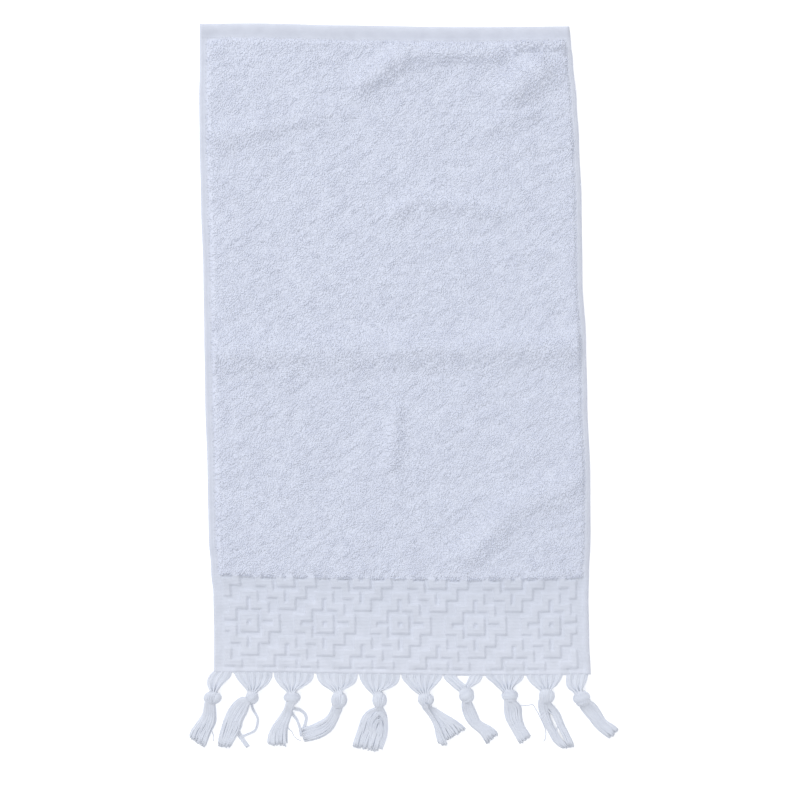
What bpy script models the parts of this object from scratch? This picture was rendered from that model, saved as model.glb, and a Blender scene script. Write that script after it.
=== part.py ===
"""Fingertip towel lying flat: terry cloth with a raised stepped-diamond border, and ten knotted tassels.

Frame: metres, +Z up, +X across the towel, +Y along it, from the tassels to the hem. The origin is the
middle of the cloth's underside, which lies on the surface at z = 0.
"""

import math
import random
from collections import namedtuple

import bmesh
import bpy
from mathutils import Matrix, Vector, noise

MM = 0.001  # the sizes below are in millimetres, and the objects are in metres

# --- The cloth's driving sizes, as it is woven --------------------------------------------------
CLOTH_WIDTH = 300.0
CLOTH_LENGTH = 520.0
SELVEDGE_WIDTH = 7.7
HEM_LENGTH = 12.5
BAND_LENGTH = 72.4  # the border with the raised pattern
END_RIDGE_LENGTH = 3.6  # the corded line beside the tassels
EDGE_ROUND = 1.2  # the outermost strip, where every edge rounds down
PILE_SLOPE = 2.4  # how far the pile takes to rise beside the border and the hem

# Heights above the surface that the towel lies on.
EDGE_HEIGHT = 1.0
SELVEDGE_HEIGHT = 1.9
BAND_HEIGHT = 1.7
RAISED_HEIGHT = 3.0
END_RIDGE_HEIGHT = 2.4
PILE_HEIGHT = 4.6
HEM_HEIGHT = 3.4
PILE_LUMPS = 0.7  # the pile's soft unevenness
LUMP_SIZE = 17.0

TERRY_ROWS = 34  # grid lines across the terry
BAND_ROWS = 17  # one for each row of the chart
BAND_COLUMNS = 66  # one for each column of the chart, from selvedge to selvedge

# --- The raised pattern ---------------------------------------------------------------------------
# A quarter of one repeat. Its rows go outward from the border's middle line, and its columns from
# the middle of a diamond to halfway to the next. # is raised. The rest of the repeat mirrors it.
CHART = (
    ".#...#..",
    "##.###..",
    "...#....",
    ".###..##",
    ".#....#.",
    "##..###.",
    "....#...",
    "..###.##",
    "..#...#.",
)
REPEAT = 14  # columns from one diamond to the next
FIRST_DIAMOND = 4  # columns between the left selvedge and the first diamond's middle
OUTER_ROW_SHIFT = 0.25  # the first and last rows are half as wide, so their middles lie further in

# --- How the cloth lies ---------------------------------------------------------------------------
# The long edges: along is the place on the cloth's length, left and right are where they lie in X.
Side = namedtuple("Side", "along left right")
SIDES = (
    Side(-260.0, -144.9, 156.5),
    Side(-233.0, -144.6, 155.3),
    Side(-201.0, -144.9, 154.7),
    Side(-181.0, -146.5, 155.1),
    Side(-153.0, -148.4, 156.3),
    Side(-105.0, -149.4, 156.1),
    Side(-41.0, -151.2, 153.8),
    Side(7.0, -152.0, 152.9),
    Side(55.0, -152.5, 149.9),
    Side(119.0, -154.6, 149.2),
    Side(167.0, -155.6, 147.2),
    Side(199.0, -155.9, 145.0),
    Side(231.0, -155.2, 142.3),
    Side(247.0, -155.3, 140.2),
    Side(260.0, -155.4, 138.8),
)
# The lines across bow: across goes from 0 at the left edge to 1, the others are shifts along +Y.
Bow = namedtuple("Bow", "across tassel_end border_top hem_end")
BOWS = (
    Bow(0.00, 1.3, 4.0, -0.5),
    Bow(0.13, 1.9, 2.0, -0.2),
    Bow(0.38, 0.8, 0.7, -1.9),
    Bow(0.70, -0.7, -0.4, -3.4),
    Bow(0.90, -0.4, 0.9, -2.8),
    Bow(1.00, 0.1, 4.0, -2.4),
)
# Soft folds: a crest from one point to another, which falls away over width on every side.
Fold = namedtuple("Fold", "x0 y0 x1 y1 width height")
FOLDS = (
    Fold(-150.0, 4.0, 150.0, 6.0, 9.0, 1.5),  # the crease where the towel was folded in two
    Fold(-20.0, 212.0, 8.0, 238.0, 8.0, 1.6),
    Fold(8.0, 238.0, 66.0, 236.0, 8.0, 1.3),
    Fold(96.0, 240.0, 132.0, 244.0, 8.0, 1.2),
    Fold(98.0, 202.0, 124.0, 226.0, 9.0, 1.6),
    Fold(-132.0, 164.0, -96.0, 176.0, 11.0, 0.9),
    Fold(18.0, 116.0, 84.0, 106.0, 9.0, 0.8),
    Fold(2.0, -84.0, 10.0, -44.0, 8.0, 0.9),
    Fold(-4.0, -130.0, -2.0, -100.0, 8.0, 0.8),
    Fold(64.0, -158.0, 82.0, -134.0, 9.0, 1.6),
    Fold(82.0, -134.0, 132.0, -104.0, 9.0, 1.6),
)

# --- The tassels ----------------------------------------------------------------------------------
# A tassel's yarns leave the cloth between root_left and root_right, meet in a knot at (x, y) and
# spread into a skirt. tilt slants the knot's band. slant lengthens the skirt's left side and
# shortens its right one, or the other way round where it is negative.
Tassel = namedtuple("Tassel", "root_left root_right x y width length tilt slant skirt")
# A skirt is a middle line from under the knot to the tips, with the skirt's width at each point.
TASSELS = (
    Tassel(-144.8, -129.9, -145.4, -278.3, 14.4, 10.6, 0.5, -0.13, (
        (-148.0, -284.2, 8.6), (-149.6, -291.0, 11.6), (-153.0, -301.0, 16.5), (-158.0, -317.5, 18.6))),
    Tassel(-128.4, -98.6, -114.2, -278.0, 11.4, 11.2, -0.4, 0.0, (
        (-117.6, -283.6, 7.0), (-124.8, -290.4, 15.0), (-131.2, -302.4, 16.8), (-135.8, -317.6, 14.0))),
    Tassel(-97.2, -64.8, -82.4, -278.4, 14.4, 11.4, 0.2, 0.0, (
        (-83.8, -286.2, 5.6), (-87.2, -293.2, 10.0), (-92.4, -304.5, 15.2), (-94.2, -317.4, 18.0))),
    Tassel(-63.4, -30.8, -44.6, -280.2, 13.2, 14.0, 0.6, -0.02, (
        (-47.0, -288.8, 9.6), (-49.2, -297.6, 12.4), (-58.0, -305.0, 14.0), (-74.2, -308.8, 13.4))),
    Tassel(-29.4, 2.6, -12.6, -279.6, 12.0, 13.4, 0.6, 0.0, (
        (-12.8, -287.2, 5.2), (-15.4, -294.4, 16.0), (-19.2, -305.4, 23.0), (-23.6, -320.4, 23.0))),
    Tassel(3.4, 37.0, 24.4, -280.0, 13.6, 11.4, -0.2, 0.0, (
        (26.8, -285.6, 7.4), (34.0, -293.6, 13.4), (40.2, -302.2, 20.0), (46.2, -311.8, 24.6))),
    Tassel(38.4, 70.4, 57.2, -276.0, 12.8, 13.0, -0.5, 0.0, (
        (57.2, -283.2, 9.0), (60.0, -293.6, 10.6), (67.4, -303.0, 12.6), (78.6, -313.2, 16.0))),
    Tassel(72.6, 102.6, 92.0, -276.8, 13.6, 11.6, -0.6, 0.05, (
        (92.8, -283.2, 11.6), (94.0, -292.0, 13.8), (97.4, -302.4, 14.4), (103.2, -314.6, 14.4))),
    Tassel(104.2, 134.4, 121.2, -276.6, 12.0, 12.8, 0.3, -0.06, (
        (120.6, -282.6, 9.6), (122.6, -291.4, 13.4), (129.2, -303.4, 17.6), (138.6, -319.2, 13.0))),
    Tassel(136.2, 154.6, 148.8, -277.8, 14.2, 12.6, -0.5, 0.0, (
        (152.8, -285.2, 9.6), (159.2, -292.0, 11.6), (166.8, -299.2, 12.0), (176.8, -308.4, 12.4))),
)
# Where a tassel's skirt or fan parts in two, by the tassel's number: from -1 at its left to 1.
PARTED_SKIRTS = {9: (-0.25, 0.25)}
PARTED_FANS = {7: (-0.42, 0.22)}
# Single yarns that stray from a tassel, by its number: points under the yarn, from inside the knot
# to the tip.
STRAYS = {
    2: (
        ((-111.2, -279.6, 3.8), (-111.6, -287.0, 1.4), (-109.4, -296.0, 0.0), (-110.4, -304.0, 0.0),
         (-116.2, -308.6, 0.0)),
    ),
    3: (
        ((-77.2, -279.4, 4.2), (-77.0, -286.8, 1.4), (-72.6, -290.4, 0.0), (-70.4, -295.0, 0.0),
         (-71.6, -299.8, 0.0)),
        ((-79.8, -279.4, 7.7), (-78.4, -286.6, 4.4), (-78.4, -295.6, 0.0), (-77.8, -301.4, 0.0)),
    ),
}

SEAT = 0.3  # between the fans' roots and the cloth's edge

# A lock's section is a triangle that lies on its base. These are shares of its radius, which is
# half its width: how far its middle is above the base and below the top.
LOCK_BASE = 0.4
LOCK_TOP = 0.8
LAYER_GAP = 0.2  # between two layers of a skirt's locks
STRAY_RADIUS = 0.9
WELD_DISTANCE = 0.00001  # in metres, for the locks' ends

FAN_SPACING = 3.9  # between the locks where they leave the cloth
FAN_LEAST = 4  # locks in the narrowest fan
FAN_STATIONS = ((0.0, 0.0), (0.12, 0.035), (0.5, 0.42), (1.0, 1.0))  # the way along, and sideways
FAN_FILL = 0.74  # of the space that each of its locks has, the share that the lock fills
FAN_LIFT = 1.4  # half the height between a fan's two layers at the knot
SKIRT_FILL = 0.76  # the same share for a skirt
SKIRT_LAYERS = (5, 4, 3)  # locks in each layer, from the surface up
SKIRT_STEPS = 4
SKIRT_LOCK_LIMIT = 1.3  # the largest radius of a skirt's lock
SKIRT_REST = 0.5  # the share of a skirt's length by which it has come down to the surface
TIP_RAGGEDNESS = 0.06  # of a skirt's length

KNOT_DEPTH = 9.6
NECK_SHARE = 0.54  # of the knot's width that the yarns narrow to inside it
NECK_LENGTH = 0.12  # from the knot's middle to where they end in it, as a share of its length
KNOT_SEGMENTS = 12
KNOT_RINGS = 8
GROOVE_DEPTH = 0.2  # beside the band of yarn that the knot is drawn round, as a share of its size
GROOVE_PLACE = 0.52  # from the knot's middle, as a share of half its length
GROOVE_WIDTH = 0.17

# --- The finish -----------------------------------------------------------------------------------
WHITE_COTTON = (0.63, 0.67, 0.79)
COTTON_ROUGHNESS = 0.92


def clear_scene():
    for obj in list(bpy.data.objects):
        bpy.data.objects.remove(obj, do_unlink=True)


def new_collection(name):
    collection = bpy.data.collections.new(name)
    bpy.context.scene.collection.children.link(collection)
    return collection


def new_material(name, colour, roughness):
    material = bpy.data.materials.new(name)
    material.use_nodes = True
    shader = material.node_tree.nodes["Principled BSDF"]
    shader.inputs["Base Color"].default_value = (*colour, 1.0)
    shader.inputs["Roughness"].default_value = roughness
    shader.inputs["Metallic"].default_value = 0.0
    return material


def make_guide(obj, guides):
    guides.objects.link(obj)
    obj.hide_render = True
    obj.display_type = "WIRE"


def eased(share):
    return share * share * (3 - 2 * share)


def read_table(rows, place, column):
    """A column's value at a place that lies between two rows of a table."""
    place = min(max(place, rows[0][0]), rows[-1][0])
    for row, after in zip(rows, rows[1:]):
        if place <= after[0]:
            share = eased((place - row[0]) / (after[0] - row[0]))
            return (1 - share) * getattr(row, column) + share * getattr(after, column)


# --- The cloth ------------------------------------------------------------------------------------
def fold_height(x, y):
    height = 0.0
    for fold in FOLDS:
        start = Vector((fold.x0, fold.y0))
        run = Vector((fold.x1, fold.y1)) - start
        away = Vector((x, y)) - start
        share = min(max(away.dot(run) / run.length_squared, 0.0), 1.0)
        height += fold.height * math.exp(-(((away - share * run).length / fold.width) ** 2))
    return height


def on_cloth(across, along):
    """Where a point of the woven cloth lies. It is measured from the cloth's left tassel corner."""
    share = across / CLOTH_WIDTH
    y = along - CLOTH_LENGTH / 2
    left = read_table(SIDES, y, "left")
    right = read_table(SIDES, y, "right")
    border_top = END_RIDGE_LENGTH + BAND_LENGTH
    middle_bow = read_table(BOWS, share, "border_top")
    if along < border_top:
        rise = 1 - along / border_top
        end_bow = read_table(BOWS, share, "tassel_end")
    else:
        rise = (along - border_top) / (CLOTH_LENGTH - border_top)
        end_bow = read_table(BOWS, share, "hem_end")
    return left + share * (right - left), y + middle_bow + rise * (end_bow - middle_bow)


# A grid line of the cloth: its place, the strip it runs in, and its row or column of the chart.
Line = namedtuple("Line", "place strip chart")


def column_lines():
    selvedge = [
        Line(0.0, "edge", None),
        Line(EDGE_ROUND, "selvedge", None),
        Line(SELVEDGE_WIDTH - EDGE_ROUND, "selvedge", None),
    ]
    cell = (CLOTH_WIDTH - 2 * SELVEDGE_WIDTH) / BAND_COLUMNS
    field = [
        Line(SELVEDGE_WIDTH + (number + 0.5) * cell, "field", number - FIRST_DIAMOND)
        for number in range(BAND_COLUMNS)
    ]
    other_selvedge = [Line(CLOTH_WIDTH - line.place, line.strip, None) for line in reversed(selvedge)]
    return selvedge + field + other_selvedge


def row_lines():
    ridge = [
        Line(0.0, "edge", None),
        Line(EDGE_ROUND, "ridge", None),
        Line(END_RIDGE_LENGTH - EDGE_ROUND, "ridge", None),
    ]
    outermost = BAND_ROWS // 2
    cell = BAND_LENGTH / (BAND_ROWS - 1)
    band = []
    for row in range(-outermost, outermost + 1):
        inward = -math.copysign(OUTER_ROW_SHIFT, row) if abs(row) == outermost else 0.0
        place = END_RIDGE_LENGTH + BAND_LENGTH / 2 + (row + inward) * cell
        band.append(Line(place, "band", row))
    pile_start = END_RIDGE_LENGTH + BAND_LENGTH + PILE_SLOPE
    hem_start = CLOTH_LENGTH - HEM_LENGTH
    step = (hem_start - PILE_SLOPE - pile_start) / (TERRY_ROWS - 1)
    terry = [Line(pile_start + number * step, "terry", None) for number in range(TERRY_ROWS)]
    hem = [
        Line(hem_start, "hem", None),
        Line(CLOTH_LENGTH - EDGE_ROUND, "hem", None),
        Line(CLOTH_LENGTH, "edge", None),
    ]
    return ridge + band + terry + hem


def is_raised(column, row):
    """Whether the chart raises this crossing. Both are counted from the first diamond's middle."""
    from_diamond = abs((column + REPEAT // 2) % REPEAT - REPEAT // 2)
    return CHART[abs(row)][from_diamond] == "#"


def cloth_height(column, row, x, y):
    """Height of the cloth's face where these two grid lines cross."""
    if "edge" in (column.strip, row.strip):
        return EDGE_HEIGHT
    if row.strip == "hem":
        return HEM_HEIGHT
    if row.strip == "ridge":
        return END_RIDGE_HEIGHT
    if column.strip == "selvedge":
        return SELVEDGE_HEIGHT
    if row.strip == "band":
        return RAISED_HEIGHT if is_raised(column.chart, row.chart) else BAND_HEIGHT
    lumps = PILE_LUMPS * noise.noise(Vector((x, y, 0.0)) / LUMP_SIZE)
    return PILE_HEIGHT + lumps + fold_height(x, y)


def make_cloth():
    """A grid for the face, dropped to the surface all round and closed by a flat underside."""
    columns = column_lines()
    rows = row_lines()
    bm = bmesh.new()
    bmesh.ops.create_grid(bm, x_segments=len(columns) - 1, y_segments=len(rows) - 1, size=0.5)
    lines = {}
    for vert in bm.verts:
        column = columns[round((vert.co.x + 0.5) * (len(columns) - 1))]
        row = rows[round((vert.co.y + 0.5) * (len(rows) - 1))]
        x, y = on_cloth(column.place, row.place)
        vert.co = Vector((x, y, cloth_height(column, row, x, y))) * MM
        lines[vert] = column, row

    # The pile needs only every second column of the pattern's grid.
    pile_start = END_RIDGE_LENGTH + BAND_LENGTH
    spare = []
    for edge in bm.edges:
        (column, row), (other_column, other_row) = (lines[vert] for vert in edge.verts)
        in_pile = min(row.place, other_row.place) > pile_start
        if in_pile and column is other_column and column.strip == "field" and column.chart % 2:
            spare.append(edge)
    bmesh.ops.dissolve_edges(bm, edges=spare, use_verts=True)

    rim = [edge for edge in bm.edges if edge.is_boundary]
    for part in bmesh.ops.extrude_edge_only(bm, edges=rim)["geom"]:
        if isinstance(part, bmesh.types.BMVert):
            part.co.z = 0.0
    bmesh.ops.holes_fill(bm, edges=[edge for edge in bm.edges if edge.is_boundary], sides=0)
    bmesh.ops.recalc_face_normals(bm, faces=bm.faces)
    mesh = bpy.data.meshes.new("cloth")
    bm.to_mesh(mesh)
    bm.free()
    mesh.shade_smooth()
    return bpy.data.objects.new("cloth", mesh)


# --- The tassels ----------------------------------------------------------------------------------
def smooth_path(points, share):
    """Point and direction at this share of a smooth line through the points."""
    place = share * (len(points) - 1)
    start = min(int(place), len(points) - 2)
    part = place - start
    before, here, after, beyond = (
        Vector(points[min(max(number, 0), len(points) - 1)]) for number in range(start - 1, start + 3)
    )
    leave = (after - before) / 2
    arrive = (beyond - here) / 2
    rest = after - here
    bend = 3 * rest - 2 * leave - arrive
    tighten = leave + arrive - 2 * rest
    point = here + part * (leave + part * (bend + part * tighten))
    direction = leave + part * (2 * bend + 3 * part * tighten)
    return point, Vector(direction[:2]).normalized()


def side_by_side(count):
    """Places from -1 to 1 for this many locks."""
    return [(2 * number + 1) / count - 1 for number in range(count)]


def is_parted(gap, side):
    return gap is not None and gap[0] < side < gap[1]


def fan_locks(tassel, gap):
    """Locks from the cloth's edge to the knot, which change from one layer into two on the way."""
    root_width = tassel.root_right - tassel.root_left
    neck_width = NECK_SHARE * tassel.width
    count = max(FAN_LEAST, round(root_width / FAN_SPACING))
    root_radius = FAN_FILL * root_width / count / 2
    neck_radius = FAN_FILL * neck_width / count
    locks = []
    for number, side in enumerate(side_by_side(count)):
        if is_parted(gap, side):
            continue
        root_x = (tassel.root_left + tassel.root_right + side * root_width) / 2
        share = (root_x - SIDES[0].left) / (SIDES[0].right - SIDES[0].left)
        root_y = on_cloth(share * CLOTH_WIDTH, 0.0)[1] - SEAT
        neck_x = tassel.x + side * neck_width / 2
        neck_y = tassel.y + NECK_LENGTH * tassel.length
        neck_z = KNOT_DEPTH / 2 + (FAN_LIFT if number % 2 else -FAN_LIFT)
        lock = []
        for way, sideways in FAN_STATIONS:
            radius = root_radius + way * (neck_radius - root_radius)
            x = root_x + sideways * (neck_x - root_x)
            y = root_y + way * (neck_y - root_y)
            resting = LOCK_BASE * radius
            lock.append((x, y, resting + eased(way) * (neck_z - resting), radius))
        locks.append(lock)
    return locks


def skirt_locks(tassel, gap, number):
    """Locks from the knot to the tips, in layers that come down to rest on the surface."""
    layer_height = (LOCK_BASE + LOCK_TOP) * SKIRT_LOCK_LIMIT + LAYER_GAP
    hanging = (KNOT_DEPTH - len(SKIRT_LAYERS) * layer_height) / 2
    chance = random.Random(number)
    full_reach = 1 - abs(tassel.slant) - TIP_RAGGEDNESS
    neck = (tassel.x, tassel.y - NECK_LENGTH * tassel.length, NECK_SHARE * tassel.width)
    locks = []
    for layer, count in enumerate(SKIRT_LAYERS):
        for side in side_by_side(count):
            if is_parted(gap, side):
                continue
            uneven = TIP_RAGGEDNESS * chance.uniform(-1, 1)
            lock = []
            for step in range(SKIRT_STEPS + 1):
                way = step / SKIRT_STEPS
                reach = way * full_reach if way < 1 else full_reach - tassel.slant * side + uneven
                middle, direction = smooth_path((neck, *tassel.skirt), reach)
                width = middle.z
                radius = min(SKIRT_FILL * width / SKIRT_LAYERS[0] / 2, SKIRT_LOCK_LIMIT)
                x = middle.x - direction.y * side * width / 2
                y = middle.y + direction.x * side * width / 2
                drop = eased(min(way / SKIRT_REST, 1.0))
                z = (1 - drop) * hanging + layer * layer_height + LOCK_BASE * radius
                lock.append((x, y, z, radius))
            locks.append(lock)
    return locks


def stray_locks(number):
    lift = LOCK_BASE * STRAY_RADIUS
    return [[(x, y, z + lift, STRAY_RADIUS) for x, y, z in path] for path in STRAYS.get(number, ())]


def make_lock_profile(guides):
    """The section of a lock 1 mm in radius, with its base down."""
    curve = bpy.data.curves.new("lock_profile", "CURVE")
    spline = curve.splines.new("POLY")
    corners = ((-1.0, -LOCK_BASE), (1.0, -LOCK_BASE), (0.0, LOCK_TOP))
    spline.points.add(len(corners) - 1)
    for point, (x, y) in zip(spline.points, corners):
        point.co = (x * MM, y * MM, 0.0, 1.0)
    spline.use_cyclic_u = True
    profile = bpy.data.objects.new("lock_profile", curve)
    make_guide(profile, guides)
    return profile


def make_yarns(name, locks, profile, guides):
    """One closed mesh for each lock, in one object."""
    curve = bpy.data.curves.new(name, "CURVE")
    curve.dimensions = "3D"
    curve.twist_mode = "Z_UP"
    curve.bevel_mode = "OBJECT"
    curve.bevel_object = profile
    curve.use_fill_caps = True
    for lock in locks:
        spline = curve.splines.new("POLY")
        spline.points.add(len(lock) - 1)
        for point, (x, y, z, radius) in zip(spline.points, lock):
            point.co = (x * MM, y * MM, z * MM, 1.0)
            point.radius = radius
    lines = bpy.data.objects.new(name + "_lines", curve)
    guides.objects.link(lines)
    tubes = lines.evaluated_get(bpy.context.evaluated_depsgraph_get())
    mesh = bpy.data.meshes.new_from_object(tubes)
    bpy.data.objects.remove(lines, do_unlink=True)
    bm = bmesh.new()
    bm.from_mesh(mesh)
    bmesh.ops.remove_doubles(bm, verts=bm.verts, dist=WELD_DISTANCE)
    bmesh.ops.recalc_face_normals(bm, faces=bm.faces)
    bm.to_mesh(mesh)
    bm.free()
    yarns = bpy.data.objects.new(name, mesh)
    make_guide(yarns, guides)
    return yarns


def make_knot(name, tassel):
    """A ball of yarn, with a groove on each side of the band that it is drawn round."""
    bm = bmesh.new()
    bmesh.ops.create_uvsphere(bm, u_segments=KNOT_SEGMENTS, v_segments=KNOT_RINGS, radius=1.0)
    bmesh.ops.rotate(bm, verts=bm.verts, matrix=Matrix.Rotation(math.radians(90), 3, "X"))
    half_segment = Matrix.Rotation(math.pi / KNOT_SEGMENTS, 3, "Y")
    bmesh.ops.rotate(bm, verts=bm.verts, matrix=half_segment)
    for vert in bm.verts:
        x, y, z = vert.co
        from_band = abs(y + tassel.tilt * x * z)
        swell = 1 - GROOVE_DEPTH * math.exp(-(((from_band - GROOVE_PLACE) / GROOVE_WIDTH) ** 2))
        vert.co = (
            MM * x * swell * tassel.width / 2,
            MM * y * tassel.length / 2,
            MM * z * swell * KNOT_DEPTH / 2,
        )
    mesh = bpy.data.meshes.new(name)
    bm.to_mesh(mesh)
    bm.free()
    mesh.shade_smooth()
    knot = bpy.data.objects.new(name, mesh)
    knot.location = (tassel.x * MM, tassel.y * MM, KNOT_DEPTH / 2 * MM)
    return knot


def make_tassel(number, tassel, profile, guides):
    name = f"tassel_{number:02d}"
    locks = fan_locks(tassel, PARTED_FANS.get(number))
    locks += skirt_locks(tassel, PARTED_SKIRTS.get(number), number)
    locks += stray_locks(number)
    knot = make_knot(name, tassel)
    fuse = knot.modifiers.new("fuse yarns", "BOOLEAN")
    fuse.operation = "UNION"
    fuse.solver = "EXACT"
    fuse.object = make_yarns(f"yarns_{number:02d}", locks, profile, guides)
    return knot


def main():
    clear_scene()
    towel = new_collection("fingertip towel")
    guides = new_collection("guides")
    cotton = new_material("white cotton", WHITE_COTTON, COTTON_ROUGHNESS)
    fringe_cotton = new_material("white cotton fringe", WHITE_COTTON, COTTON_ROUGHNESS)
    cloth = make_cloth()
    cloth.data.materials.append(cotton)
    towel.objects.link(cloth)
    profile = make_lock_profile(guides)
    for number, row in enumerate(TASSELS, start=1):
        tassel = make_tassel(number, row, profile, guides)
        tassel.data.materials.append(fringe_cotton)
        towel.objects.link(tassel)


main()
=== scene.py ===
"""Fingertip towel lying flat: looped terry, a raised stepped-diamond border and ten knotted tassels.

Frame: metres, +Z up, +X across the towel, +Y along it, from the tassels to the hem. The origin is the
middle of the cloth's underside, which lies on the surface at z = 0. Sizes are given in millimetres.
"""

import math
from collections import namedtuple

import bpy
import numpy as np
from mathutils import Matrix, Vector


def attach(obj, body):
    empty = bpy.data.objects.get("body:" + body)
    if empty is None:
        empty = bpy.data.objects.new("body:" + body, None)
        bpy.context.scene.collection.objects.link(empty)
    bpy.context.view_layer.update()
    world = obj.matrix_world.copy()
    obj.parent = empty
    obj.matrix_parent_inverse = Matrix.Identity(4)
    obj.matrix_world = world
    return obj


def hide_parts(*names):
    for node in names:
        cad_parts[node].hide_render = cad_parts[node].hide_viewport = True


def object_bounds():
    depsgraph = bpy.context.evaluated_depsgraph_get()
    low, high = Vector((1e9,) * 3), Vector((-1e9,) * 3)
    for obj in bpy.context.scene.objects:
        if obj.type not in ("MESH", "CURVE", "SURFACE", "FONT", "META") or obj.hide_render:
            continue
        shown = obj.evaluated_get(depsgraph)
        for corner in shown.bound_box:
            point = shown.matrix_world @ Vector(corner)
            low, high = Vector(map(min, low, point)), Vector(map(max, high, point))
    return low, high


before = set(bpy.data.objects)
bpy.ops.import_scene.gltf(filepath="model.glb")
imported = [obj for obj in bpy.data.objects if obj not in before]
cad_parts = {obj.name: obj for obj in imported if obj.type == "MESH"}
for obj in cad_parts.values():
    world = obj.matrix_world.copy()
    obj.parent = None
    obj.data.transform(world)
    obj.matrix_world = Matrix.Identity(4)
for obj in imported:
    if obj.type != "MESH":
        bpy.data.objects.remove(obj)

MM = 0.001  # in metres
UP = np.array((0.0, 0.0, 1.0))

# --- The cloth's sizes, as it is woven ---
CLOTH_WIDTH = 300.0
CLOTH_LENGTH = 520.0
HEM_LENGTH = 12.5
BAND_LENGTH = 72.4  # the border with the raised pattern
END_RIDGE_LENGTH = 3.6  # the corded line beside the tassels
END_ROUND = 1.2  # how far the tassel end and the hem take to round down
HEM_ROUND = 2.6
BORDER_TOP = END_RIDGE_LENGTH + BAND_LENGTH
HEM_START = CLOTH_LENGTH - HEM_LENGTH
# Where one height eases into the next along the cloth, from and to.
RIDGE_TO_BAND = (0.5, 7.5)
BAND_TO_TERRY = (BORDER_TOP - 0.8, BORDER_TOP + 1.2)
TERRY_TO_HEM = (-3.2, 1.4)  # from where the hem starts
# The bare strips beside the terry, left and right: how far from the cloth's edge the strip, its
# cord, its groove and its rounding reach, and its height.
SELVEDGES = ((5.8, 1.8, 3.9, 1.2, 1.9), (4.2, 3.4, 5.8, 3.6, 2.9))
# Raised and sunk lines of the weave.
Line = namedtuple("Line", "height width place", defaults=(0.0,))
CORD = Line(0.3, 1.1)
GROOVE = Line(-0.25, 1.0)
RIB_HEIGHT = 0.06  # the fine ribs of the selvedge
RIB_PITCH = 1.28

# Heights above the surface that the towel lies on.
EDGE_HEIGHT = 1.0
UNDER_EDGE_HEIGHT = 0.35
UNDER_UNEVEN = 0.12
BAND_HEIGHT = 1.6
RAISED_HEIGHT = 3.2
END_RIDGE_HEIGHT = 2.2
END_RIDGE = Line(END_RIDGE_HEIGHT - BAND_HEIGHT, 1.1, 1.9)
END_GROOVE = Line(-0.25, 0.8, 4.2)
GROUND_HEIGHT = 4.05  # the ground weave between the loops
PILE_HEIGHT = 4.65
HEM_HEIGHT = 2.3
HEM_PUFF = Line(2.5, 6.0, 8.8)  # from where the hem starts
HEM_FOLDS = 0.35  # the share of the folds' height that the stiffer hem takes
TERRY_LIFT = 0.9  # how far the thicker terry lifts the border beside it
LIFTED_BORDER = (BORDER_TOP - 13.0, BORDER_TOP - 1.0)
PILE_LUMPS = 0.6  # the pile's soft unevenness
LUMP_SIZE = 17.0
LUMP_SHARE = 0.4  # of the unevenness, and the rest is streaks
STREAK_ANGLE = 35.0  # the way that the pile's small unevenness is drawn out, in degrees from +X
STREAK_SIZE = (7.5, 3.2)
EDGE_LIFT = 1.1  # the most that an edge stands off the surface
LIFT_SIZE = 60.0
LIFTED_SIDE = (3.0, 40.0)  # from a side
LIFTED_END = (CLOTH_LENGTH - 45.0, CLOTH_LENGTH - 4.0)
FLAT_END = (10.0, 60.0)  # the tassels hold their end down

# --- The raised pattern ---
# A quarter of one repeat. Its rows go outward from the border's middle line, and its columns from
# the middle of a diamond to halfway to the next. # is raised. The rest of the repeat mirrors it.
CHART = (
    ".#...#..",
    "##.###..",
    "...#....",
    ".###..##",
    ".#....#.",
    "##..###.",
    "....#...",
    "..###.##",
    "..#...#.",
)
REPEAT = 14  # columns from one diamond to the next
FIRST_DIAMOND = 4  # columns to the left of the first diamond's middle
BAND_COLUMNS = 65
BAND_ROWS = 17
COLUMN_SIZE = 4.31
ROW_SIZE = BAND_LENGTH / (BAND_ROWS - 1)
PATTERN_START = 9.1  # from the cloth's left edge
PATTERN_END = PATTERN_START + BAND_COLUMNS * COLUMN_SIZE
RAISED_SLOPE = 1.1  # how far a raised line takes to fall to the ground beside it
SIDE_SHARE = 0.75  # how much a distance across the cloth counts in that
# The ridge fades toward the selvedges: from, to and how faint.
RIDGE_START = (PATTERN_START + 2.0, PATTERN_START + 8.0)
RIDGE_END = (PATTERN_END - 40.0, PATTERN_END)
RIDGE_FAINTEST = 0.3

# --- How the cloth lies ---
# The long edges: the place along the cloth, and where the left and the right edge lie in X.
SIDES = (
    (-260, -144.9, 156.5),
    (-233, -144.6, 155.3),
    (-201, -145.1, 154.7),
    (-181, -147, 155.1),
    (-153, -149, 156.3),
    (-105, -149.9, 156.1),
    (-41, -151.8, 153.8),
    (7, -152.5, 152.7),
    (55, -153.2, 149.9),
    (119, -155.2, 149.2),
    (167, -156.2, 147.2),
    (199, -156.5, 145.2),
    (231, -156, 142.3),
    (247, -156.1, 140.6),
    (260, -156, 139.4),
)
# How the lines across bow: the place from 0 at the left edge to 1, and the shifts along +Y of the
# tassel end, the border's top and the hem's end.
BOWS = (
    (0, 1.3, 4, 0.1),
    (0.13, 1.4, 2, 0.5),
    (0.38, 0, 0.6, -1.2),
    (0.70, -1.3, -0.6, -2.7),
    (0.90, -1, 0, -2.2),
    (1, -0.2, 1.8, -1.9),
)
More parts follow.
